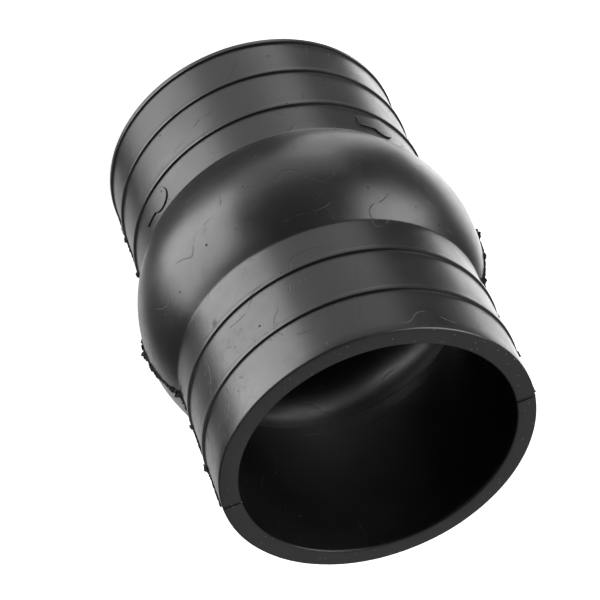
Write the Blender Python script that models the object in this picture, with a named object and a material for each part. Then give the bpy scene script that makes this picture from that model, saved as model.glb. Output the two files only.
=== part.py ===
"""Moulded rubber exhaust bellows: two straight cuffs joined by one rounded bulge.

The part is one piece of black rubber, open from end to end. The axis is +Z, the
far cuff stands on z = 0, and the parting line of the mould lies in the XZ plane.
"""
import math

import bmesh
import bpy
from mathutils import Matrix, Vector

MM = 0.001

# Cuffs: the straight ends that a clamp squeezes onto a pipe
BORE_RADIUS = 44.5 * MM
CUFF_WALL = 6.5 * MM
CUFF_LENGTH = 49.1 * MM
EDGE_CHAMFER = 0.8 * MM
LIP_CHAMFER = 1.0 * MM

# Raised lines that guide the clamp on each cuff
RIB_PITCH = 18.1 * MM
RIB_WIDTH = 1.4 * MM
RIB_RISE = 0.6 * MM
RIB_FLANK = 0.35 * MM

# Bulge: the part that flexes
BULGE_LENGTH = 47.4 * MM
BULGE_RISE = 6.6 * MM
BULGE_WALL = 6.0 * MM
FOOT_RADIUS = 13.8 * MM

# Inside: a stepped land at each end of the hollow under the bulge
LAND_DEPTH = 1.5 * MM
LAND_LENGTH = 5.2 * MM
LAND_INSET = 2.9 * MM

# Parting line: thin torn flash left by the two mould halves
FLASH_WIDTH = 1.2 * MM
FLASH_RISE = 0.7 * MM
FLASH_TEAR = 0.5

# Keyhole marks: raised pads, a round head with a straight tail
KEY_HEAD_RADIUS = 5.0 * MM
KEY_TAIL_WIDTH = 5.0 * MM
KEY_TAIL_LENGTH = 9.8 * MM
KEY_RISE = 0.5 * MM
KEY_CLEARANCE = 0.6 * MM
KEY_AZIMUTHS_DEG = (-44.0, -140.8)

# Fineness of the round shapes
COLUMNS = 72
FILLET_STEPS = 4
CROWN_STEPS = 6
HOLLOW_STEPS = 5
KEY_ARC_STEPS = 16

CUFF_RADIUS = BORE_RADIUS + CUFF_WALL
CREST_RADIUS = CUFF_RADIUS + BULGE_RISE
LENGTH = 2 * CUFF_LENGTH + BULGE_LENGTH
MIDDLE = LENGTH / 2


def clear_scene():
    """Start from an empty scene."""
    for obj in list(bpy.data.objects):
        bpy.data.objects.remove(obj, do_unlink=True)


def rubber_material():
    """Black moulded rubber with a satin skin."""
    material = bpy.data.materials.new("black_rubber")
    material.use_nodes = True
    shader = material.node_tree.nodes["Principled BSDF"]
    shader.inputs["Base Color"].default_value = (0.022, 0.022, 0.023, 1.0)
    shader.inputs["Roughness"].default_value = 0.42
    shader.inputs["Metallic"].default_value = 0.0
    material.diffuse_color = (0.05, 0.05, 0.052, 1.0)
    return material


def arc(centre_radius, centre_height, radius, start_deg, end_deg, steps):
    """Points of a circular arc in the (radius, height) plane, both ends included."""
    points = []
    for step in range(steps + 1):
        angle = math.radians(start_deg + (end_deg - start_deg) * step / steps)
        points.append((centre_radius + radius * math.cos(angle),
                       centre_height + radius * math.sin(angle)))
    return points


def rib_heights():
    """Heights of the raised lines over the middle, from the near end inwards."""
    room = CUFF_LENGTH - 2 * (KEY_HEAD_RADIUS + KEY_CLEARANCE)
    count = max(1, int(room / RIB_PITCH))
    return [MIDDLE - (number + 1) * RIB_PITCH for number in range(count)]


def rib(height):
    """One raised line, as four points from its upper to its lower flank."""
    half = RIB_WIDTH / 2
    return [(CUFF_RADIUS, height + half),
            (CUFF_RADIUS + RIB_RISE, height + half - RIB_FLANK),
            (CUFF_RADIUS + RIB_RISE, height - half + RIB_FLANK),
            (CUFF_RADIUS, height - half)]


def bulge_half():
    """Outside of the bulge from its upper foot down to the crest: two tangent arcs."""
    half = BULGE_LENGTH / 2
    radii_sum = (half ** 2 + BULGE_RISE ** 2) / (2 * BULGE_RISE)
    crown_radius = radii_sum - FOOT_RADIUS
    lean_deg = math.degrees(math.asin(half / radii_sum))
    foot = arc(CUFF_RADIUS + FOOT_RADIUS, half, FOOT_RADIUS, 180, 180 + lean_deg, FILLET_STEPS)
    crown = arc(CREST_RADIUS - crown_radius, 0, crown_radius, lean_deg, 0, CROWN_STEPS)
    return foot + crown[1:]


def hollow_half():
    """Inside from the crest of the hollow up to the bore: one arc, a land and a step."""
    crest = CREST_RADIUS - BULGE_WALL
    land_radius = BORE_RADIUS + LAND_DEPTH
    land_top = BULGE_LENGTH / 2 - LAND_INSET
    hollow_top = land_top - LAND_LENGTH
    depth = crest - land_radius
    radius = (hollow_top ** 2 + depth ** 2) / (2 * depth)
    span_deg = math.degrees(math.asin(hollow_top / radius))
    points = arc(crest - radius, 0, radius, 0, span_deg, HOLLOW_STEPS)
    return points + [(land_radius, land_top - LAND_DEPTH), (BORE_RADIUS, land_top)]


def outer_half():
    """Outside from the near end down to the crest, heights counted from the middle."""
    points = [(CUFF_RADIUS - EDGE_CHAMFER, MIDDLE), (CUFF_RADIUS, MIDDLE - EDGE_CHAMFER)]
    for height in rib_heights():
        points += rib(height)
    return points + bulge_half()


def inner_half():
    """Inside from the crest of the hollow up to the near end."""
    lip = [(BORE_RADIUS, MIDDLE - LIP_CHAMFER), (BORE_RADIUS + LIP_CHAMFER, MIDDLE)]
    return hollow_half() + lip


def section():
    """The closed section of the wall, as (radius, height over z = 0)."""
    outer = outer_half()
    inner = inner_half()
    mirrored_outer = [(radius, -height) for radius, height in reversed(outer[:-1])]
    mirrored_inner = [(radius, -height) for radius, height in reversed(inner[1:])]
    loop = outer + mirrored_outer + mirrored_inner + inner
    return [(radius, height + MIDDLE) for radius, height in loop]


def turned_body():
    """The wall's section spun round the axis."""
    body = bmesh.new()
    verts = [body.verts.new((radius, 0, height)) for radius, height in section()]
    edges = [body.edges.new((verts[i - 1], verts[i])) for i in range(len(verts))]
    bmesh.ops.spin(body, geom=verts + edges, cent=(0, 0, 0), axis=(0, 0, 1),
                   angle=math.tau, steps=COLUMNS, use_merge=True)
    bmesh.ops.remove_doubles(body, verts=body.verts, dist=0.00001)
    bmesh.ops.recalc_face_normals(body, faces=body.faces)
    return body


def tear(height):
    """How much of the flash is left at a height, between 1 - FLASH_TEAR and 1."""
    wave = math.sin(height / (1.7 * MM)) * math.cos(height / (4.1 * MM))
    return 1 - FLASH_TEAR * (0.5 + 0.5 * wave)


def raise_flash(body):
    """Lift a thin torn ridge along the parting line on both sides of the part."""
    for side in (-1, 1):
        everything = body.verts[:] + body.edges[:] + body.faces[:]
        bmesh.ops.bisect_plane(body, geom=everything, dist=0.000001,
                               plane_co=(0, side * FLASH_WIDTH / 2, 0), plane_no=(0, 1, 0))
    for vert in body.verts:
        on_line = abs(vert.co.y) < 0.01 * MM
        outside = abs(vert.co.x) > CUFF_RADIUS - 0.01 * MM
        if on_line and outside:
            vert.co.x += math.copysign(FLASH_RISE * tear(vert.co.z), vert.co.x)


def mesh_object(name, body):
    """Turn a bmesh into an object of the scene."""
    mesh = bpy.data.meshes.new(name)
    body.to_mesh(mesh)
    body.free()
    obj = bpy.data.objects.new(name, mesh)
    bpy.context.collection.objects.link(obj)
    return obj


def key_outline():
    """Keyhole shape round its head's centre: tail along +Y, head round the rest."""
    half_tail = KEY_TAIL_WIDTH / 2
    open_deg = math.degrees(math.asin(half_tail / KEY_HEAD_RADIUS))
    head = arc(0, 0, KEY_HEAD_RADIUS, 90 + open_deg, 450 - open_deg, KEY_ARC_STEPS)
    return head + [(half_tail, KEY_TAIL_LENGTH), (-half_tail, KEY_TAIL_LENGTH)]


def key_height():
    """The marks sit halfway between the last raised line and the bulge's foot."""
    last_rib = MIDDLE - rib_heights()[-1]
    return (last_rib + CUFF_LENGTH) / 2


def key_block(name, azimuth_deg):
    """A keyhole block that points outwards from inside the cuff's wall."""
    depth_inside = CUFF_RADIUS - CUFF_WALL / 2
    block = bmesh.new()
    verts = [block.verts.new((depth_inside, along, -across)) for across, along in key_outline()]
    base = block.faces.new(verts)
    lifted = bmesh.ops.extrude_face_region(block, geom=[base])["geom"]
    outward = Vector((CUFF_WALL, 0, 0))
    bmesh.ops.translate(block, vec=outward, verts=[v for v in lifted if isinstance(v, bmesh.types.BMVert)])
    bmesh.ops.recalc_face_normals(block, faces=block.faces)
    place = Matrix.Rotation(math.radians(azimuth_deg), 4, "Z") @ Matrix.Translation((0, 0, key_height()))
    bmesh.ops.transform(block, matrix=place, verts=block.verts)
    return mesh_object(name, block)


def key_skin(name):
    """A short drum whose side is the outer skin of the marks."""
    skin = bmesh.new()
    height = 4 * KEY_HEAD_RADIUS
    bmesh.ops.create_cone(skin, cap_ends=True, segments=COLUMNS, depth=height,
                          radius1=CUFF_RADIUS + KEY_RISE, radius2=CUFF_RADIUS + KEY_RISE,
                          matrix=Matrix.Translation((0, 0, key_height())))
    return mesh_object(name, skin)


def hide_tool(obj):
    """A cutter or guide: drawn as wire and left out of the render."""
    obj.hide_render = True
    obj.display_type = "WIRE"


def boolean(obj, name, operation, tool):
    """Add one exact Boolean modifier."""
    modifier = obj.modifiers.new(name, "BOOLEAN")
    modifier.operation = operation
    modifier.solver = "EXACT"
    modifier.object = tool


def add_keyhole_marks(bellows):
    """Raise both keyhole marks on the far cuff, next to the bulge."""
    skin = key_skin("key_skin")
    hide_tool(skin)
    for number, azimuth_deg in enumerate(KEY_AZIMUTHS_DEG, start=1):
        block = key_block(f"key_block_{number}", azimuth_deg)
        boolean(block, "trim_to_skin", "INTERSECT", skin)
        hide_tool(block)
        boolean(bellows, f"keyhole_mark_{number}", "UNION", block)


def build_bellows():
    """The whole part: turned wall, flash and keyhole marks."""
    body = turned_body()
    raise_flash(body)
    bellows = mesh_object("bellows", body)
    add_keyhole_marks(bellows)
    bellows.data.materials.append(rubber_material())
    bellows.data.shade_smooth()
    bellows.data.set_sharp_from_angle(angle=math.radians(28))
    return bellows


def main():
    clear_scene()
    build_bellows()


main()
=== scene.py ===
"""Looks of a moulded rubber exhaust bellows, modelled and lit as a Blender add-on.

The packed frame gives the part's size and place. The visible skin is turned again as a
fine mesh, with its keyhole marks, its torn parting flash and the finish of black rubber.
"""

import math
import random

import bmesh
import bpy
from bpy.props import FloatProperty, FloatVectorProperty, IntProperty, PointerProperty, StringProperty
from bpy.types import Operator, Panel, PropertyGroup
from mathutils import Matrix, Vector


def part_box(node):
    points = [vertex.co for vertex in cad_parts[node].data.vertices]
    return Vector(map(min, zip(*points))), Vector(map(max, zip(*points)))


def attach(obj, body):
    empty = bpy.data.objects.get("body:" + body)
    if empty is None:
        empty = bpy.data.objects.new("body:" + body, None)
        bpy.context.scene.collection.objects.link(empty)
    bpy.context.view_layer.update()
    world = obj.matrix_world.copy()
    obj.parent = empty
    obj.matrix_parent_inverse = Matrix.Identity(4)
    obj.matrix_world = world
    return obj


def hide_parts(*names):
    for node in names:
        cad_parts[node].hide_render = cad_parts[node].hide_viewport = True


bl_info = {
    "name": "Rubber Exhaust Bellows",
    "version": (1, 0, 0),
    "blender": (4, 5, 0),
    "location": "View3D > Sidebar > Bellows",
    "description": "Models a moulded rubber bellows and its studio",
    "category": "Object",
}

MM = 0.001

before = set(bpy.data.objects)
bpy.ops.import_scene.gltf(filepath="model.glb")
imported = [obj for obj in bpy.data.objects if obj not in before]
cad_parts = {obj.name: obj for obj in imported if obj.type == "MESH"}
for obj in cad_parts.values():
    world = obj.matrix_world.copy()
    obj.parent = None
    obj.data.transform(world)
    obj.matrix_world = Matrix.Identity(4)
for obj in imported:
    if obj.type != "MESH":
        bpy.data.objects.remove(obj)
_, CAD_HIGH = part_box("bellows")
LENGTH = CAD_HIGH.z
CREST_RADIUS = CAD_HIGH.y
MIDDLE = LENGTH / 2

# Tolerances of selections and merges
TINY = 0.001 * MM
SAME_PLACE = 0.01 * MM

# Mesh steps: round an edge, across a raised line, along the bulge's foot and crown, along
# the hollow, round a keyhole's head and over its rounded top edge
EDGE_STEPS = 4
RIB_STEPS = 8
FOOT_STEPS = 10
CROWN_STEPS = 16
HOLLOW_STEPS = 14
HEAD_STEPS = 36
ROUNDING_STEPS = 3

# Spacing of the rings on the cuffs and in the bore, and of the cuts across a keyhole mark
CUFF_SPACING = 3 * MM
BORE_SPACING = 4 * MM
STRIP = 1 * MM

# Faces that meet at less than this look like one curved surface
SMOOTH_ANGLE = math.radians(35)

# Power of a raised line's section: 2 is an ellipse, and more is squarer
RIB_SQUARENESS = 8

# The keyhole heads' bearings round the axis, in degrees
MARK_AZIMUTHS = (-44.0, -140.8)


# Sizes, colours and lights that a user would change

def length_property(name, millimetres, description):
    """A length, shown in the scene's unit."""
    return FloatProperty(name=name, description=description, default=millimetres * MM,
                         min=0.0, unit="LENGTH", precision=4)


class BellowsShape(PropertyGroup):
    """Sizes of the moulding."""
    bore_radius: length_property("Bore radius", 44.5, "Inside radius of both cuffs")
    cuff_wall: length_property("Cuff wall", 6.5, "Thickness of the rubber in the cuffs")
    bulge_length: length_property("Bulge length", 47.0, "Length of the bulge, foot to foot")
    bulge_wall: length_property("Bulge wall", 6.0, "Thickness of the rubber at the crest")
    foot_radius: length_property("Foot radius", 2.2, "Hollow fillet where the bulge starts")
    outer_edge: length_property("Outer edge", 0.7, "Rounding of the end faces outside")
    lip_edge: length_property("Lip", 0.9, "Rounding of the end faces inside")
    rib_pitch: length_property("Rib pitch", 18.1, "Distance between the raised lines")
    rib_width: length_property("Rib width", 2.0, "Width of a raised line")
    rib_rise: length_property("Rib rise", 0.7, "Height of a raised line")
    rib_count: IntProperty(name="Ribs", description="Raised lines on each cuff", default=2, min=0)
    bead_inset: length_property("Bead inset", 0.3, "From the far edge's rounding to its raised bead")
    land_depth: length_property("Land depth", 1.5, "Step from the bore to the land")
    land_length: length_property("Land length", 5.2, "Length of the land inside")
    land_inset: length_property("Land inset", 2.9, "From the bulge's foot to the land's edge")
    unevenness: length_property("Unevenness", 0.07, "Slight waves of the moulded skin")
    wave_length: length_property("Wave length", 22.0, "Size of the skin's waves")
    columns: IntProperty(name="Columns", description="Faces round the part", default=288, min=24)


class BellowsMarks(PropertyGroup):
    """Sizes of the keyhole marks and of the flash on the parting line."""
    head_radius: length_property("Head radius", 4.4, "Round end of a keyhole mark")
    tail_width: length_property("Tail width", 4.6, "Width of the straight tail")
    tail_length: length_property("Tail length", 9.8, "From the head's centre to the tail's end")
    rise: length_property("Rise", 0.5, "Height of the marks over the cuff")
    rounding: length_property("Rounding", 0.175, "Rounded top edge of the marks")
    offset: length_property("Offset", 0.6, "From the band's middle towards the bulge")
    flash_rise: length_property("Flash rise", 1.9, "Height of the torn flash")
    flash_thickness: length_property("Flash thickness", 0.4, "Thickness of the flash")
    flash_step: length_property("Tear length", 0.75, "Length of one tear of the flash")
    crack_depth: length_property("Crack depth", 0.45, "Depth of the parting crack in the end faces")
    crack_width: length_property("Crack width", 0.5, "Width of the parting crack")
    seed: IntProperty(name="Seed", description="Start of the random tears", default=11, min=0)


def shade_property(name, value, description):
    """A colour, as an sRGB hex value."""
    return StringProperty(name=name, description=description, default=value)


class BellowsFinish(PropertyGroup):
    """Colours and gloss of the rubber."""
    rubber: shade_property("Rubber", "#0D0D0E", "Moulded skin")
    faded: shade_property("Faded rubber", "#131314", "Skin where it was handled")
    dust: shade_property("Dust", "#6E6C68", "Specks of dust and talc")
    end_face: shade_property("Trimmed face", "#171717", "Cut ends of the cuffs")
    relief: length_property("Relief", 0.06, "Depth of the skin's fine marks")
    roughness: FloatProperty(name="Roughness", description="Gloss of the moulded skin",
                             default=0.33, min=0.0, max=1.0, subtype="FACTOR")
    skin_specular: FloatProperty(name="Skin specular", description="Reflection of the moulded skin",
                                 default=0.5, min=0.0, max=1.0, subtype="FACTOR")
    # The inside's weaker reflection is painted shade: the same rubber, dimmed where little light
    # reaches the bore
    inside_shade_specular: FloatProperty(name="Core specular", description="Reflection of the duller inside",
                                 default=0.28, min=0.0, max=1.0, subtype="FACTOR")
    torn_roughness: FloatProperty(name="Torn roughness", description="Gloss of the torn flash",
                                  default=0.75, min=0.0, max=1.0, subtype="FACTOR")
    torn_specular: FloatProperty(name="Torn specular", description="Reflection of the torn flash",
                                 default=0.3, min=0.0, max=1.0, subtype="FACTOR")
    end_roughness: FloatProperty(name="End roughness", description="Gloss of the cut ends",
                                 default=0.55, min=0.0, max=1.0, subtype="FACTOR")


class BellowsStudio(PropertyGroup):
    """Camera, floor and lights."""
    aim: FloatVectorProperty(name="Aim", description="Point that the camera looks at",
                             default=(6.3 * MM, -23.4 * MM, 95.8 * MM),
                             subtype="TRANSLATION", unit="LENGTH")
    distance: length_property("Distance", 700.0, "From the camera to its aim")
    azimuth: FloatProperty(name="Azimuth", description="Camera's bearing from the aim",
                           default=math.radians(-85.305), subtype="ANGLE", unit="ROTATION")
    elevation: FloatProperty(name="Elevation", description="Camera's height over the aim",
                             default=math.radians(44.08), subtype="ANGLE", unit="ROTATION")
    roll: FloatProperty(name="Roll", description="Turn of the camera round its view",
                        default=math.radians(157.03), subtype="ANGLE", unit="ROTATION")
    lens: FloatProperty(name="Lens", description="Focal length in millimetres", default=134.11, min=1.0)
    backdrop: FloatProperty(name="Backdrop", description="Light from the room all round",
                            default=0.1, min=0.0)
    table_glow: FloatProperty(name="Table glow", description="Light of the table itself",
                              default=1.0, min=0.0)
    floor_colour: shade_property("Floor", "#F4F4F4", "Pale floor")


SETTINGS = {
    "bellows_shape": BellowsShape,
    "bellows_marks": BellowsMarks,
    "bellows_finish": BellowsFinish,
    "bellows_studio": BellowsStudio,
}


# Small helpers for modelling by operator

def start_clean():
    """Nothing selected, object mode."""
    if bpy.context.object and bpy.context.object.mode != "OBJECT":
        bpy.ops.object.mode_set(mode="OBJECT")
    bpy.ops.object.select_all(action="DESELECT")


def edit(select="VERT"):
    """Edit mode with nothing selected."""
    bpy.ops.object.mode_set(mode="EDIT")
    bpy.ops.mesh.select_mode(type=select)
    bpy.ops.mesh.select_all(action="DESELECT")


def select_where(obj, kind, test):
    """Select the verts, edges or faces that pass a test, from edit mode."""
    mesh = bmesh.from_edit_mesh(obj.data)
    items = {"VERT": mesh.verts, "EDGE": mesh.edges, "FACE": mesh.faces}[kind]
    for item in items:
        if test(item):
            item.select_set(True)
    mesh.select_flush_mode()
    bmesh.update_edit_mesh(obj.data)


def settle(obj, name):
    """Leave edit mode, name the piece and put its place into its mesh."""
    bpy.ops.object.mode_set(mode="OBJECT")
    obj.name = name
    obj.data.name = name
    bpy.ops.object.transform_apply(location=True, rotation=True, scale=True)
    return obj


def apply_modifier(obj, kind, name, **settings):
    """Add a modifier and apply it."""
    modifier = obj.modifiers.new(name, kind)
    for key, value in settings.items():
        setattr(modifier, key, value)
    bpy.ops.object.modifier_apply(modifier=name)


# Section of the wall

def arc(centre_radius, centre_height, radius, start, end, steps):
    """Points of an arc in the (radius, height) plane; angles in degrees, both ends included."""
    points = []
    for step in range(steps + 1):
        angle = math.radians(start + (end - start) * step / steps)
        points.append((centre_radius + radius * math.cos(angle),
                       centre_height + radius * math.sin(angle)))
    return points


def straight(start, end, spacing):
    """Points between two points of the section, the ends left out."""
    span = math.dist(start, end)
    count = max(1, round(span / spacing))
    return [(start[0] + (end[0] - start[0]) * step / count,
             start[1] + (end[1] - start[1]) * step / count) for step in range(1, count)]


def rib_points(shape, height):
    """A raised line with a flat back, steep sides and rounded corners."""
    cuff = shape.bore_radius + shape.cuff_wall
    points = []
    for step in range(RIB_STEPS + 1):
        across = -1 + 2 * step / RIB_STEPS
        rise = shape.rib_rise * (1 - across ** RIB_SQUARENESS) ** 0.5
        points.append((cuff + rise, height - shape.rib_width / 2 * across))
    return points


def bulge_points(shape):
    """Outside of the bulge from its upper foot to its crest: two arcs that touch smoothly."""
    cuff = shape.bore_radius + shape.cuff_wall
    rise = CREST_RADIUS - cuff
    half = shape.bulge_length / 2
    both_radii = (half ** 2 + rise ** 2) / (2 * rise)
    crown = both_radii - shape.foot_radius
    lean = math.degrees(math.asin(half / both_radii))
    foot = arc(cuff + shape.foot_radius, half, shape.foot_radius, 180, 180 + lean, FOOT_STEPS)
    return foot + arc(CREST_RADIUS - crown, 0, crown, lean, 0, CROWN_STEPS)[1:]


def hollow_points(shape):
    """Inside from the crest of the hollow up to the bore."""
    crest = CREST_RADIUS - shape.bulge_wall
    land = shape.bore_radius + shape.land_depth
    land_top = shape.bulge_length / 2 - shape.land_inset
    hollow_top = land_top - shape.land_length
    depth = crest - land
    radius = (hollow_top ** 2 + depth ** 2) / (2 * depth)
    span = math.degrees(math.asin(hollow_top / radius))
    points = arc(crest - radius, 0, radius, 0, span, HOLLOW_STEPS)
    return points + [(land, land_top - shape.land_depth), (shape.bore_radius, land_top)]


def half_section(shape):
    """Outside from the near end to the crest, then inside from the crest to the near end."""
    cuff = shape.bore_radius + shape.cuff_wall
    edge = shape.outer_edge
    outer = arc(cuff - edge, MIDDLE - edge, edge, 90, 0, EDGE_STEPS)
    for number in range(shape.rib_count):
        rib = rib_points(shape, MIDDLE - (number + 1) * shape.rib_pitch)
        outer += straight(outer[-1], rib[0], CUFF_SPACING) + rib
    bulge = bulge_points(shape)
    outer += straight(outer[-1], bulge[0], CUFF_SPACING) + bulge
    lip = shape.lip_edge
    inner = hollow_points(shape)
    rounded = arc(shape.bore_radius + lip, MIDDLE - lip, lip, 180, 90, EDGE_STEPS)
    inner += straight(inner[-1], rounded[0], BORE_SPACING) + rounded
    return outer, inner


def wall_section(shape):
    """The closed section as (radius, height over the floor), with a bead by the far edge."""
    outer, inner = half_section(shape)
    bead_height = shape.outer_edge + shape.bead_inset + shape.rib_width / 2 - MIDDLE
    bead = rib_points(shape, bead_height)
    far_edge = arc(shape.bore_radius + shape.cuff_wall - shape.outer_edge,
                   shape.outer_edge - MIDDLE, shape.outer_edge, 0, -90, EDGE_STEPS)
    far_outer = [(radius, -height) for radius, height in reversed(outer[:-1])
                 if -height > bead_height + shape.rib_width]
    far_inner = [(radius, -height) for radius, height in reversed(inner[1:])]
    loop = outer + far_outer + bead + far_edge + far_inner + inner
    return [(radius, height + MIDDLE) for radius, height in loop]


# The body

# A crack moves what lies this near an end face, by shares of its depth and its width
CRACK_REACH = 0.3 * MM
CRACK_DEPTHS = (0.6, 1.0)
CRACK_SHIFTS = (-0.2, 0.2)

# An end face lies this near an end and faces along the axis; an inside face looks inwards
END_REACH = 0.5 * MM
END_FACING = 0.7
INSIDE_FACING = -0.1

# Order of the body's materials; the third is the inside's copy, whose weaker reflections are painted
# shade
SKIN, TRIMMED, INSIDE_SHADE = 0, 1, 2


def draw_section(shape):
    """One vertex, extruded point by point along the section and closed."""
    points = wall_section(shape)
    first = Vector((points[0][0], 0, points[0][1]))
    bpy.ops.mesh.primitive_plane_add(size=MM, location=first)
    obj = bpy.context.object
    bpy.ops.object.mode_set(mode="EDIT")
    bpy.ops.mesh.select_mode(type="VERT")
    bpy.ops.mesh.select_all(action="SELECT")
    bpy.ops.mesh.merge(type="CENTER")
    for start, end in zip(points, points[1:]):
        move = (end[0] - start[0], 0, end[1] - start[1])
        bpy.ops.mesh.extrude_region_move(TRANSFORM_OT_translate={"value": move})
    bpy.ops.mesh.select_all(action="DESELECT")
    select_where(obj, "VERT", lambda vert: len(vert.link_edges) == 1)
    bpy.ops.mesh.edge_face_add()
    return obj


def spin_section(obj, shape):
    """Turn the section once round the axis."""
    bpy.ops.mesh.select_all(action="SELECT")
    bpy.ops.mesh.spin(steps=shape.columns, angle=math.tau, center=(0, 0, 0), axis=(0, 0, 1))
    bpy.ops.mesh.select_all(action="SELECT")
    bpy.ops.mesh.remove_doubles(threshold=SAME_PLACE)
    bpy.ops.mesh.normals_make_consistent(inside=False)


def crack_end_faces(obj, marks):
    """A shallow, uneven crack across both end faces where the mould halves met."""
    for side in (-1, 1):
        bpy.ops.mesh.select_all(action="SELECT")
        bpy.ops.mesh.bisect(plane_co=(0, side * marks.crack_width / 2, 0), plane_no=(0, 1, 0),
                            threshold=TINY)
    jitter = random.Random(marks.seed)
    mesh = bmesh.from_edit_mesh(obj.data)
    for vert in mesh.verts:
        near_end = vert.co.z > LENGTH - CRACK_REACH
        far_end = vert.co.z < CRACK_REACH
        if abs(vert.co.y) < TINY and (near_end or far_end):
            inward = -1 if near_end else 1
            vert.co.z += inward * marks.crack_depth * jitter.uniform(*CRACK_DEPTHS)
            vert.co.y += marks.crack_width * jitter.uniform(*CRACK_SHIFTS)
    bmesh.update_edit_mesh(obj.data)


def is_end_face(polygon):
    """True for the flat cut ends of the cuffs."""
    height = polygon.center.z
    at_end = height > LENGTH - END_REACH or height < END_REACH
    return at_end and abs(polygon.normal.z) > END_FACING


def is_inside(polygon):
    """True for the bore, the lands and the hollow, which the mould's core shaped."""
    outward = Vector((polygon.center.x, polygon.center.y, 0)).normalized()
    return polygon.normal.dot(outward) < INSIDE_FACING


class BELLOWS_OT_body(Operator):
    """Turn the wall's section into the bellows"""
    bl_idname = "bellows.body"
    bl_label = "Bellows body"

    def execute(self, context):
        shape = context.scene.bellows_shape
        marks = context.scene.bellows_marks
        finish = context.scene.bellows_finish
        start_clean()
        obj = draw_section(shape)
        spin_section(obj, shape)
        crack_end_faces(obj, marks)
        settle(obj, "bellows_skin")
        waves = bpy.data.textures.new("moulded_waves", "CLOUDS")
        waves.noise_scale = shape.wave_length
        waves.noise_depth = 1
        apply_modifier(obj, "DISPLACE", "unevenness", texture=waves, texture_coords="LOCAL",
                       strength=2 * shape.unevenness, mid_level=0.5)
        obj.data.materials.append(skin_rubber(finish))
        obj.data.materials.append(trimmed_rubber(finish))
        # The third material paints shade on the inside through weaker reflections
        obj.data.materials.append(inside_shade_rubber(finish))
        for polygon in obj.data.polygons:
            if is_end_face(polygon):
                polygon.material_index = TRIMMED
            # Inward faces get the copy with weaker reflections, which paints the shade in the bore and
            # hollow
            elif is_inside(polygon):
                polygon.material_index = INSIDE_SHADE
            else:
                polygon.material_index = SKIN
        bpy.ops.object.shade_smooth_by_angle(angle=SMOOTH_ANGLE)
        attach(obj, "root")
        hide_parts("bellows")
        return {"FINISHED"}


# Keyhole marks

def keyhole_outline(marks):
    """Keyhole round its head's centre: (along the cuff, up the axis)."""
    half_tail = marks.tail_width / 2
    open_angle = math.degrees(math.asin(half_tail / marks.head_radius))
    head = arc(0, 0, marks.head_radius, open_angle, 360 - open_angle, HEAD_STEPS)
    return head + [(marks.tail_length, -half_tail), (marks.tail_length, half_tail)]


def mark_height(shape, marks):
    """Between the last raised line and the bulge's foot, on the far cuff."""
    last_rib = shape.rib_count * shape.rib_pitch
    foot = MIDDLE - shape.bulge_length / 2
    return (last_rib + foot) / 2 + marks.offset


def draw_keyhole(marks):
    """Outline drawn flat, filled, lifted, rounded on top and cut into strips that can bend."""
    outline = keyhole_outline(marks)
    bpy.ops.mesh.primitive_circle_add(vertices=len(outline), radius=marks.head_radius,
                                      fill_type="NGON")
    obj = bpy.context.object
    edit("FACE")
    mesh = bmesh.from_edit_mesh(obj.data)
    mesh.verts.ensure_lookup_table()
    for vert, (along, up) in zip(mesh.verts, outline):
        vert.co = (along, up, 0)
    bmesh.update_edit_mesh(obj.data)
    bpy.ops.mesh.select_all(action="SELECT")
    depth = 2 * marks.rise
    bpy.ops.mesh.extrude_region_move(TRANSFORM_OT_translate={"value": (0, 0, depth)})
    bpy.ops.mesh.select_all(action="SELECT")
    bpy.ops.mesh.normals_make_consistent(inside=False)
    bpy.ops.mesh.select_all(action="DESELECT")
    bpy.ops.mesh.select_mode(type="EDGE")
    select_where(obj, "EDGE", lambda edge: all(vert.co.z > depth - TINY for vert in edge.verts))
    bpy.ops.mesh.bevel(offset=marks.rounding, segments=ROUNDING_STEPS, affect="EDGES")
    first = math.ceil(-marks.head_radius / STRIP)
    last = math.ceil(marks.tail_length / STRIP)
    for strip in range(first, last):
        bpy.ops.mesh.select_all(action="SELECT")
        bpy.ops.mesh.bisect(plane_co=(strip * STRIP, 0, 0), plane_no=(1, 0, 0), threshold=TINY)
    return obj


def wrap_on_cuff(obj, shape, marks, azimuth, height):
    """Bend the flat mark round the cuff, half sunk into the rubber."""
    cuff = shape.bore_radius + shape.cuff_wall
    mesh = bmesh.from_edit_mesh(obj.data)
    for vert in mesh.verts:
        along, up, lift = vert.co
        angle = azimuth + along / cuff
        radius = cuff - marks.rise + lift
        vert.co = (radius * math.cos(angle), radius * math.sin(angle), height + up)
    bmesh.update_edit_mesh(obj.data)
    bpy.ops.mesh.select_all(action="SELECT")
    bpy.ops.mesh.normals_make_consistent(inside=False)


class BELLOWS_OT_marks(Operator):
    """Raise the keyhole marks beside the bulge"""
    bl_idname = "bellows.marks"
    bl_label = "Keyhole marks"

    def execute(self, context):
        shape = context.scene.bellows_shape
        marks = context.scene.bellows_marks
        finish = context.scene.bellows_finish
        for number, azimuth in enumerate(MARK_AZIMUTHS, start=1):
            start_clean()
            obj = draw_keyhole(marks)
            wrap_on_cuff(obj, shape, marks, math.radians(azimuth), mark_height(shape, marks))
            settle(obj, f"keyhole_mark_{number}")
            obj.data.materials.append(skin_rubber(finish))
            bpy.ops.object.shade_smooth_by_angle(angle=SMOOTH_ANGLE)
            apply_modifier(obj, "WEIGHTED_NORMAL", "flat_faces", keep_sharp=True)
            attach(obj, "root")
        return {"FINISHED"}


# Torn flash

# How far each row of the strip stands out of the rubber, as a share of the flash's rise
FLASH_ROWS = (-0.5, 0.225, 1.0)
FREE_ROW = 2

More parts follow.
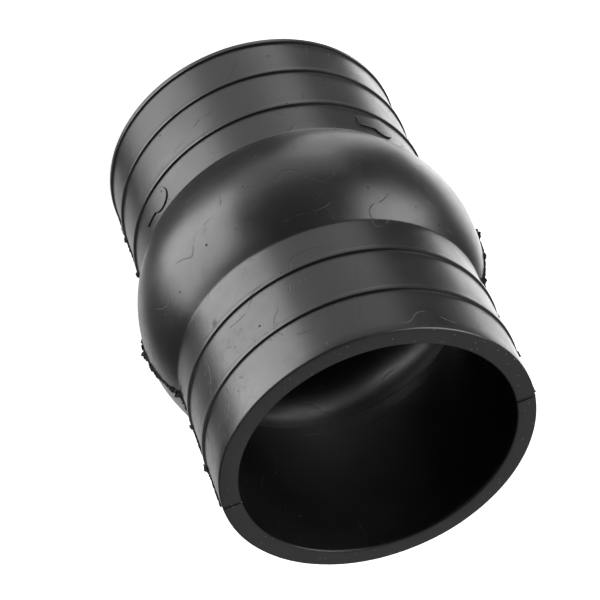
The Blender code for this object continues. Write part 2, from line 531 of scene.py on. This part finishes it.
# Swings of the patches along the axis, where the short one starts, and where on the part
# the flash is left tall
LONG_TEARS = 6.3 * MM
SHORT_TEARS = 2.6 * MM
SHORT_START = 1.0
TALL_FROM = 0.45 * LENGTH
TALL_TO = 0.68 * LENGTH
SHORT_FLASH = 0.5

# Random teeth, and the shift of each row along the axis and across the strip
TEETH = (0.25, 1.15)
ROW_SHIFT = 0.15 * MM
ROW_LEAN = 0.2 * MM


def outside_path(shape, step):
    """Outside of the section between its two rounded end edges, from the far end, evenly stepped."""
    outer, _ = half_section(shape)
    upper = [(radius, height + MIDDLE) for radius, height in outer]
    lower = [(radius, MIDDLE - height) for radius, height in outer[:-1]]
    points = lower + list(reversed(upper))
    path = [points[0]]
    travelled = 0.0
    for start, end in zip(points, points[1:]):
        span = math.dist(start, end)
        while travelled + span >= step:
            part = (step - travelled) / span
            start = (start[0] + (end[0] - start[0]) * part, start[1] + (end[1] - start[1]) * part)
            path.append(start)
            span = math.dist(start, end)
            travelled = 0.0
        travelled += span
    return [(radius, height) for radius, height in path
            if shape.outer_edge < height < LENGTH - shape.outer_edge]


def torn_share(height, draw):
    """How far the flash stands out at a height: long patches, with ragged teeth on them."""
    patch = 0.5 + 0.5 * math.sin(height / LONG_TEARS) * math.cos(height / SHORT_TEARS + SHORT_START)
    if not TALL_FROM < height < TALL_TO:
        patch *= SHORT_FLASH
    return max(0.0, patch * draw.uniform(*TEETH))


def draw_flash(shape, marks, side):
    """A strip along the parting line, torn at its free edge."""
    draw = random.Random(marks.seed + side)
    path = outside_path(shape, marks.flash_step)
    columns = len(path)
    bpy.ops.mesh.primitive_grid_add(x_subdivisions=columns - 1, y_subdivisions=len(FLASH_ROWS) - 1,
                                    size=LENGTH)
    obj = bpy.context.object
    edit("VERT")
    mesh = bmesh.from_edit_mesh(obj.data)
    mesh.verts.ensure_lookup_table()
    for index, vert in enumerate(mesh.verts):
        row, column = divmod(index, columns)
        radius, height = path[column]
        before = path[max(0, column - 1)]
        after = path[min(columns - 1, column + 1)]
        along = Vector((after[0] - before[0], after[1] - before[1])).normalized()
        outward = Vector((along.y, -along.x))
        stand = FLASH_ROWS[row] * marks.flash_rise
        if row == FREE_ROW:
            stand *= torn_share(height, draw)
        place = Vector((radius, height)) + outward * stand
        place.y += draw.uniform(-ROW_SHIFT, ROW_SHIFT) * row
        lean = draw.uniform(-ROW_LEAN, ROW_LEAN) * row
        vert.co = (side * place.x, lean, place.y)
    bmesh.update_edit_mesh(obj.data)
    return obj


class BELLOWS_OT_flash(Operator):
    """Leave the torn flash on the parting line"""
    bl_idname = "bellows.flash"
    bl_label = "Parting flash"

    def execute(self, context):
        shape = context.scene.bellows_shape
        marks = context.scene.bellows_marks
        rubber = torn_rubber(context.scene.bellows_finish)
        for side, name in ((1, "parting_flash_left"), (-1, "parting_flash_right")):
            start_clean()
            obj = draw_flash(shape, marks, side)
            settle(obj, name)
            apply_modifier(obj, "SOLIDIFY", "thickness", thickness=marks.flash_thickness, offset=0.0)
            obj.data.materials.append(rubber)
            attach(obj, "root")
        return {"FINISHED"}


# Materials

# Sizes of the marks on the rubber, in millimetres. The grain of the skin, of the cut and of
# the tear and the dust are really about 0.1 mm, and are drawn coarser so that they show.
SMUDGE_SIZE = 24
MOTTLE_SIZE = 2.4
GRAIN_SIZE = 0.7
SCRATCH_SWEEP = 26
SCRATCH_PATCH = 8
SCUFF_SIZE = 1.1
SCUFF_PATCH = 11
CUT_PATCH = 9
CUT_GRAIN_SIZE = 0.6
TORN_GRAIN_SIZE = 0.4

# Specks: their spacing and radius in millimetres, and the share of places that has one
PITS = (6, 0.42, 0.35)
DUST = (3.2, 0.2, 0.3)
CUT_DUST = (2.0, 0.3, 0.45)

# A speck is full inside this share of its radius, and its choice is this sharp
SPECK_CORE = 0.6
SHARP = 0.01

# A scratch runs where the noise has its middle value, is this wide to each side in the
# noise's own value, and is full inside this share of that
NOISE_MIDDLE = 0.5
SCRATCH_WIDTH = 0.004
SCRATCH_CORE = 0.3

# What each mark adds to the roughness, and its height beside the relief
DULLING = {"smudge": 0.1, "mottle": 0.04, "wear": 0.2, "pits": 0.5}
HEIGHTS = {"grain": 0.1, "mottle": 0.35, "scratch": -0.6, "scuff": -0.25, "pits": -3.0}
CUT_RELIEF = 0.12 * MM
TORN_RELIEF = 0.08 * MM

# How much of the dust's colour a speck shows on the skin and on the cut
SKIN_DUST = 0.5
TRIMMED_DUST = 0.8

# How strongly the fine parts of each noise show
NOISE_ROUGHNESS = 0.6

# Places of a colour Mix node's factor, its two colours and its result
FACTOR, FIRST, SECOND, MIXED = 0, 6, 7, 2


def linear(hex_colour):
    """An sRGB hex colour as linear RGBA."""
    channels = []
    for start in (1, 3, 5):
        value = int(hex_colour[start:start + 2], 16) / 255
        channels.append(value / 12.92 if value <= 0.04045 else ((value + 0.055) / 1.055) ** 2.4)
    return (*channels, 1.0)


def add(tree, kind, settings=None, inputs=None, output=0):
    """Add a node with its settings and its input values or links, and give one output."""
    node = tree.nodes.new(kind)
    for key, value in (settings or {}).items():
        setattr(node, key, value)
    for key, value in (inputs or {}).items():
        if isinstance(value, bpy.types.NodeSocket):
            tree.links.new(value, node.inputs[key])
        else:
            node.inputs[key].default_value = value
    return node.outputs[output]


def new_rubber(name, roughness):
    """An empty rubber material: itself, its tree, its shader and its coordinates in metres."""
    material = bpy.data.materials.new(name)
    material.use_nodes = True
    tree = material.node_tree
    shader = tree.nodes["Principled BSDF"]
    shader.inputs["Metallic"].default_value = 0.0
    shader.inputs["IOR"].default_value = 1.5
    shader.inputs["Roughness"].default_value = roughness
    return material, tree, shader, add(tree, "ShaderNodeTexCoord", output="Object")


def per_metre(millimetres):
    """Pattern scale whose features have a real size in millimetres."""
    return 1 / (millimetres * MM)


def weigh(tree, fields, weights, start=0.0):
    """Start, plus each named field times its weight."""
    total = start
    for name, weight in weights.items():
        total = add(tree, "ShaderNodeMath", {"operation": "MULTIPLY_ADD"},
                    {0: fields[name], 1: weight, 2: total})
    return total


def patches(tree, place, millimetres, low, high, detail=2.0, distortion=0.0):
    """Cloudy patches of a real size: none where the noise is under low, full over high."""
    field = add(tree, "ShaderNodeTexNoise", inputs={
        "Vector": place, "Scale": per_metre(millimetres), "Detail": detail,
        "Roughness": NOISE_ROUGHNESS, "Distortion": distortion}, output="Fac")
    return add(tree, "ShaderNodeMapRange", inputs={"Value": field, "From Min": low, "From Max": high})


def specks(tree, place, spacing, radius, kept):
    """Round specks at random places."""
    distance = add(tree, "ShaderNodeTexVoronoi", inputs={
        "Vector": place, "Scale": per_metre(spacing)}, output="Distance")
    reach = radius / spacing
    speck = add(tree, "ShaderNodeMapRange", inputs={
        "Value": distance, "From Min": reach, "From Max": SPECK_CORE * reach})
    luck = add(tree, "ShaderNodeSeparateColor", inputs={
        "Color": distance.node.outputs["Color"]}, output="Red")
    chosen = add(tree, "ShaderNodeMapRange", inputs={
        "Value": luck, "From Min": 1 - kept, "From Max": 1 - kept + SHARP})
    return add(tree, "ShaderNodeMath", {"operation": "MULTIPLY"}, {0: speck, 1: chosen})


def scratches(tree, place):
    """Hairlines where a slow noise passes its middle value, broken into short pieces."""
    field = add(tree, "ShaderNodeTexNoise", inputs={
        "Vector": place, "Scale": per_metre(SCRATCH_SWEEP), "Detail": 1.0,
        "Roughness": NOISE_ROUGHNESS}, output="Fac")
    side = add(tree, "ShaderNodeMath", {"operation": "SUBTRACT"}, {0: field, 1: NOISE_MIDDLE})
    away = add(tree, "ShaderNodeMath", {"operation": "ABSOLUTE"}, {0: side})
    line = add(tree, "ShaderNodeMapRange", inputs={
        "Value": away, "From Min": SCRATCH_WIDTH, "From Max": SCRATCH_CORE * SCRATCH_WIDTH})
    where = patches(tree, place, SCRATCH_PATCH, low=0.48, high=0.55)
    return add(tree, "ShaderNodeMath", {"operation": "MULTIPLY"}, {0: line, 1: where})


def scuffs(tree, place):
    """Rubbed spots: fine blots inside larger patches."""
    blots = patches(tree, place, SCUFF_SIZE, low=0.56, high=0.7, detail=5.0, distortion=0.6)
    where = patches(tree, place, SCUFF_PATCH, low=0.55, high=0.64)
    return add(tree, "ShaderNodeMath", {"operation": "MULTIPLY"}, {0: blots, 1: where})


def dusted(tree, shader, tone, dust, strength, finish):
    """Base colour of the shader: the tone, with specks of dust on it."""
    cover = add(tree, "ShaderNodeMath", {"operation": "MULTIPLY"}, {0: dust, 1: strength})
    colour = add(tree, "ShaderNodeMix", {"data_type": "RGBA"},
                 {FACTOR: cover, FIRST: tone, SECOND: linear(finish.dust)}, output=MIXED)
    tree.links.new(colour, shader.inputs["Base Color"])


def raised(tree, shader, height, relief):
    """Normal of the shader, from a height pattern and its full depth."""
    bump = add(tree, "ShaderNodeBump", inputs={"Height": height, "Strength": 1.0, "Distance": relief})
    tree.links.new(bump, shader.inputs["Normal"])


def moulded_rubber(finish, name, specular):
    """Near black rubber with smudges, scratches, scuffs, a few pits and some dust."""
    material, tree, shader, place = new_rubber(name, finish.roughness)
    shader.inputs["Specular IOR Level"].default_value = specular
    smudge = add(tree, "ShaderNodeTexNoise", inputs={
        "Vector": place, "Scale": per_metre(SMUDGE_SIZE), "Detail": 4.0,
        "Roughness": NOISE_ROUGHNESS}, output="Fac")
    scratch = scratches(tree, place)
    scuff = scuffs(tree, place)
    pits = specks(tree, place, *PITS)

    wear = add(tree, "ShaderNodeMath", {"operation": "MAXIMUM"}, {0: scratch, 1: scuff})
    gloss = {"smudge": patches(tree, place, SMUDGE_SIZE, low=0.3, high=0.7, detail=4.0),
             "mottle": patches(tree, place, MOTTLE_SIZE, low=0.3, high=0.7, detail=4.0),
             "wear": wear, "pits": pits}
    # Smudges and mottle dull and polish alike, so the middle stays at the set roughness
    polished = finish.roughness - (DULLING["smudge"] + DULLING["mottle"]) / 2
    tree.links.new(weigh(tree, gloss, DULLING, polished), shader.inputs["Roughness"])

    tone = add(tree, "ShaderNodeMix", {"data_type": "RGBA"}, {
        FACTOR: smudge, FIRST: linear(finish.rubber), SECOND: linear(finish.faded)}, output=MIXED)
    dusted(tree, shader, tone, specks(tree, place, *DUST), SKIN_DUST, finish)

    mottle = add(tree, "ShaderNodeTexNoise", inputs={
        "Vector": place, "Scale": per_metre(MOTTLE_SIZE), "Detail": 4.0,
        "Roughness": NOISE_ROUGHNESS}, output="Fac")
    grain = add(tree, "ShaderNodeTexNoise", inputs={
        "Vector": place, "Scale": per_metre(GRAIN_SIZE), "Detail": 3.0,
        "Roughness": NOISE_ROUGHNESS}, output="Fac")
    skin = {"grain": grain, "mottle": mottle, "scratch": scratch, "scuff": scuff, "pits": pits}
    raised(tree, shader, weigh(tree, skin, HEIGHTS), finish.relief)
    return material


def skin_rubber(finish):
    """Nitrile rubber pressed in a polished steel mould: the polish leaves it satin black,
    with soft, wide reflections of each light."""
    name = "moulded_nitrile_rubber"
    return bpy.data.materials.get(name) or moulded_rubber(finish, name, finish.skin_specular)


def inside_shade_rubber(finish):
    """The same rubber and colours on the inside, with weak reflections: painted shade that makes the
    bore darker where little light reaches it.
    """
    return moulded_rubber(finish, "inside_shade_nitrile_rubber", finish.inside_shade_specular)


def torn_rubber(finish):
    """The same rubber where the flash tore: dull and black, almost without reflections."""
    material, tree, shader, place = new_rubber("torn_nitrile_rubber", finish.torn_roughness)
    shader.inputs["Base Color"].default_value = linear(finish.rubber)
    shader.inputs["Specular IOR Level"].default_value = finish.torn_specular
    grain = add(tree, "ShaderNodeTexNoise", inputs={
        "Vector": place, "Scale": per_metre(TORN_GRAIN_SIZE), "Detail": 2.0,
        "Roughness": NOISE_ROUGHNESS}, output="Fac")
    raised(tree, shader, grain, TORN_RELIEF)
    return material


def trimmed_rubber(finish):
    """The same rubber where a blade trimmed the ends: dull dark grey, with a fine grain,
    darker patches and pale specks of dust in the cut."""
    material, tree, shader, place = new_rubber("trimmed_nitrile_rubber", finish.end_roughness)
    tone = add(tree, "ShaderNodeMix", {"data_type": "RGBA"}, {
        FACTOR: patches(tree, place, CUT_PATCH, low=0.4, high=0.65, detail=4.0),
        FIRST: linear(finish.end_face), SECOND: linear(finish.rubber)}, output=MIXED)
    dusted(tree, shader, tone, specks(tree, place, *CUT_DUST), TRIMMED_DUST, finish)
    grain = add(tree, "ShaderNodeTexNoise", inputs={
        "Vector": place, "Scale": per_metre(CUT_GRAIN_SIZE), "Detail": 3.0,
        "Roughness": NOISE_ROUGHNESS}, output="Fac")
    raised(tree, shader, grain, CUT_RELIEF)
    return material


# Stage

def look_from(aim, distance, azimuth, elevation, roll=0.0):
    """Matrix of a camera or light that looks at a point from a bearing."""
    back = Vector((math.cos(elevation) * math.cos(azimuth),
                   math.cos(elevation) * math.sin(azimuth),
                   math.sin(elevation)))
    right = Vector((0, 0, 1)).cross(back).normalized()
    up = back.cross(right)
    turn = Matrix((right, up, back)).transposed().to_4x4()
    return Matrix.Translation(Vector(aim) + back * distance) @ turn @ Matrix.Rotation(roll, 4, "Z")


# Each softbox: name, bearing and height of its centre, its width and height as seen from
# the part (all in degrees), and its brightness beside the white table's
SOFTBOXES = (
    ("key_softbox", -33.0, -23.0, 52.0, 56.0, 6.6),
    ("rim_softbox", -154.0, 13.0, 42.0, 52.0, 6.2),
    ("back_glow", 135.0, -40.0, 42.0, 26.0, 2.9),
    ("side_glow", -174.0, -67.0, 60.0, 20.0, 1.7),
    ("front_glow", -98.0, -48.0, 60.0, 34.0, 1.1),
    ("left_glow", 72.0, -32.0, 54.0, 48.0, 0.95),
    ("top_panel", 95.0, 48.0, 70.0, 60.0, 0.75),
)
SOFTBOX_DISTANCE = 1.5

# The table, in metres; the gap keeps it clear of the far end's slight waves
FLOOR_SIZE = 12
FLOOR_GAP = 0.05 * MM
FLOOR_ROUGHNESS = 0.9

# A full-frame camera's sensor, in millimetres, and its nearest distance, in metres
SENSOR_WIDTH = 36
CLIP_START = 0.01


def add_softbox(name, azimuth, elevation, wide, high, brightness):
    """A soft rectangular studio light aimed at the part's middle, out of the camera's sight."""
    lamp = bpy.data.lights.new(name, "AREA")
    lamp.shape = "RECTANGLE"
    lamp.size = 2 * SOFTBOX_DISTANCE * math.tan(math.radians(wide / 2))
    lamp.size_y = 2 * SOFTBOX_DISTANCE * math.tan(math.radians(high / 2))
    # This power gives the light's whole face the wanted brightness
    lamp.energy = brightness * math.pi * lamp.size * lamp.size_y
    obj = bpy.data.objects.new(name, lamp)
    obj.visible_camera = False
    bpy.context.scene.collection.objects.link(obj)
    obj.matrix_world = look_from((0, 0, MIDDLE), SOFTBOX_DISTANCE,
                                 math.radians(azimuth), math.radians(elevation))


def add_camera(studio):
    """The photograph's view."""
    lens = bpy.data.cameras.new("camera")
    lens.lens = studio.lens
    lens.sensor_width = SENSOR_WIDTH
    lens.clip_start = CLIP_START
    obj = bpy.data.objects.new("camera", lens)
    bpy.context.scene.collection.objects.link(obj)
    obj.matrix_world = look_from(studio.aim, studio.distance, studio.azimuth, studio.elevation,
                                 studio.roll)
    bpy.context.scene.camera = obj


def add_floor(studio):
    """A pale table lit from below, which lets the softboxes under it reach the part."""
    bpy.ops.mesh.primitive_plane_add(size=FLOOR_SIZE, location=(0, 0, -FLOOR_GAP))
    floor = bpy.context.object
    floor.name = "floor"
    material = bpy.data.materials.new("pale_floor")
    material.use_nodes = True
    shader = material.node_tree.nodes["Principled BSDF"]
    shader.inputs["Base Color"].default_value = linear(studio.floor_colour)
    shader.inputs["Roughness"].default_value = FLOOR_ROUGHNESS
    shader.inputs["Emission Color"].default_value = linear(studio.floor_colour)
    shader.inputs["Emission Strength"].default_value = studio.table_glow
    floor.data.materials.append(material)
    floor.visible_glossy = False
    floor.visible_shadow = False


def add_backdrop(studio):
    """Surroundings that the camera sees as white and that light the part only a little."""
    world = bpy.data.worlds.new("white_room")
    world.use_nodes = True
    background = world.node_tree.nodes["Background"]
    background.inputs["Color"].default_value = (1, 1, 1, 1)
    seen = add(world.node_tree, "ShaderNodeLightPath", output="Is Camera Ray")
    strength = add(world.node_tree, "ShaderNodeMapRange", inputs={
        "Value": seen, "To Min": studio.backdrop, "To Max": 1.0})
    world.node_tree.links.new(strength, background.inputs["Strength"])
    bpy.context.scene.world = world


class BELLOWS_OT_studio(Operator):
    """Set up the camera, the floor and the lights"""
    bl_idname = "bellows.studio"
    bl_label = "Studio"

    def execute(self, context):
        studio = context.scene.bellows_studio
        start_clean()
        add_camera(studio)
        add_floor(studio)
        add_backdrop(studio)
        for softbox in SOFTBOXES:
            add_softbox(*softbox)
        context.scene.view_settings.view_transform = "Standard"
        return {"FINISHED"}


class BELLOWS_PT_panel(Panel):
    """Pieces of the bellows, in the order in which they are made"""
    bl_idname = "BELLOWS_PT_panel"
    bl_label = "Bellows"
    bl_space_type = "VIEW_3D"
    bl_region_type = "UI"
    bl_category = "Bellows"

    def draw(self, context):
        for operator in OPERATORS:
            self.layout.operator(operator.bl_idname)
        for name, group in SETTINGS.items():
            box = self.layout.box()
            box.label(text=group.__doc__)
            for key in group.__annotations__:
                box.prop(getattr(context.scene, name), key)


OPERATORS = (BELLOWS_OT_body, BELLOWS_OT_marks, BELLOWS_OT_flash, BELLOWS_OT_studio)


def register():
    for cls in (*SETTINGS.values(), *OPERATORS, BELLOWS_PT_panel):
        bpy.utils.register_class(cls)
    for name, group in SETTINGS.items():
        setattr(bpy.types.Scene, name, PointerProperty(type=group))


def unregister():
    for name in SETTINGS:
        delattr(bpy.types.Scene, name)
    for cls in reversed((*SETTINGS.values(), *OPERATORS, BELLOWS_PT_panel)):
        bpy.utils.unregister_class(cls)


def main():
    """Make every piece in order."""
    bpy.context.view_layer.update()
    register()
    bpy.ops.bellows.body()
    bpy.ops.bellows.marks()
    bpy.ops.bellows.flash()
    bpy.ops.bellows.studio()


if __name__ == "__main__":
    main()
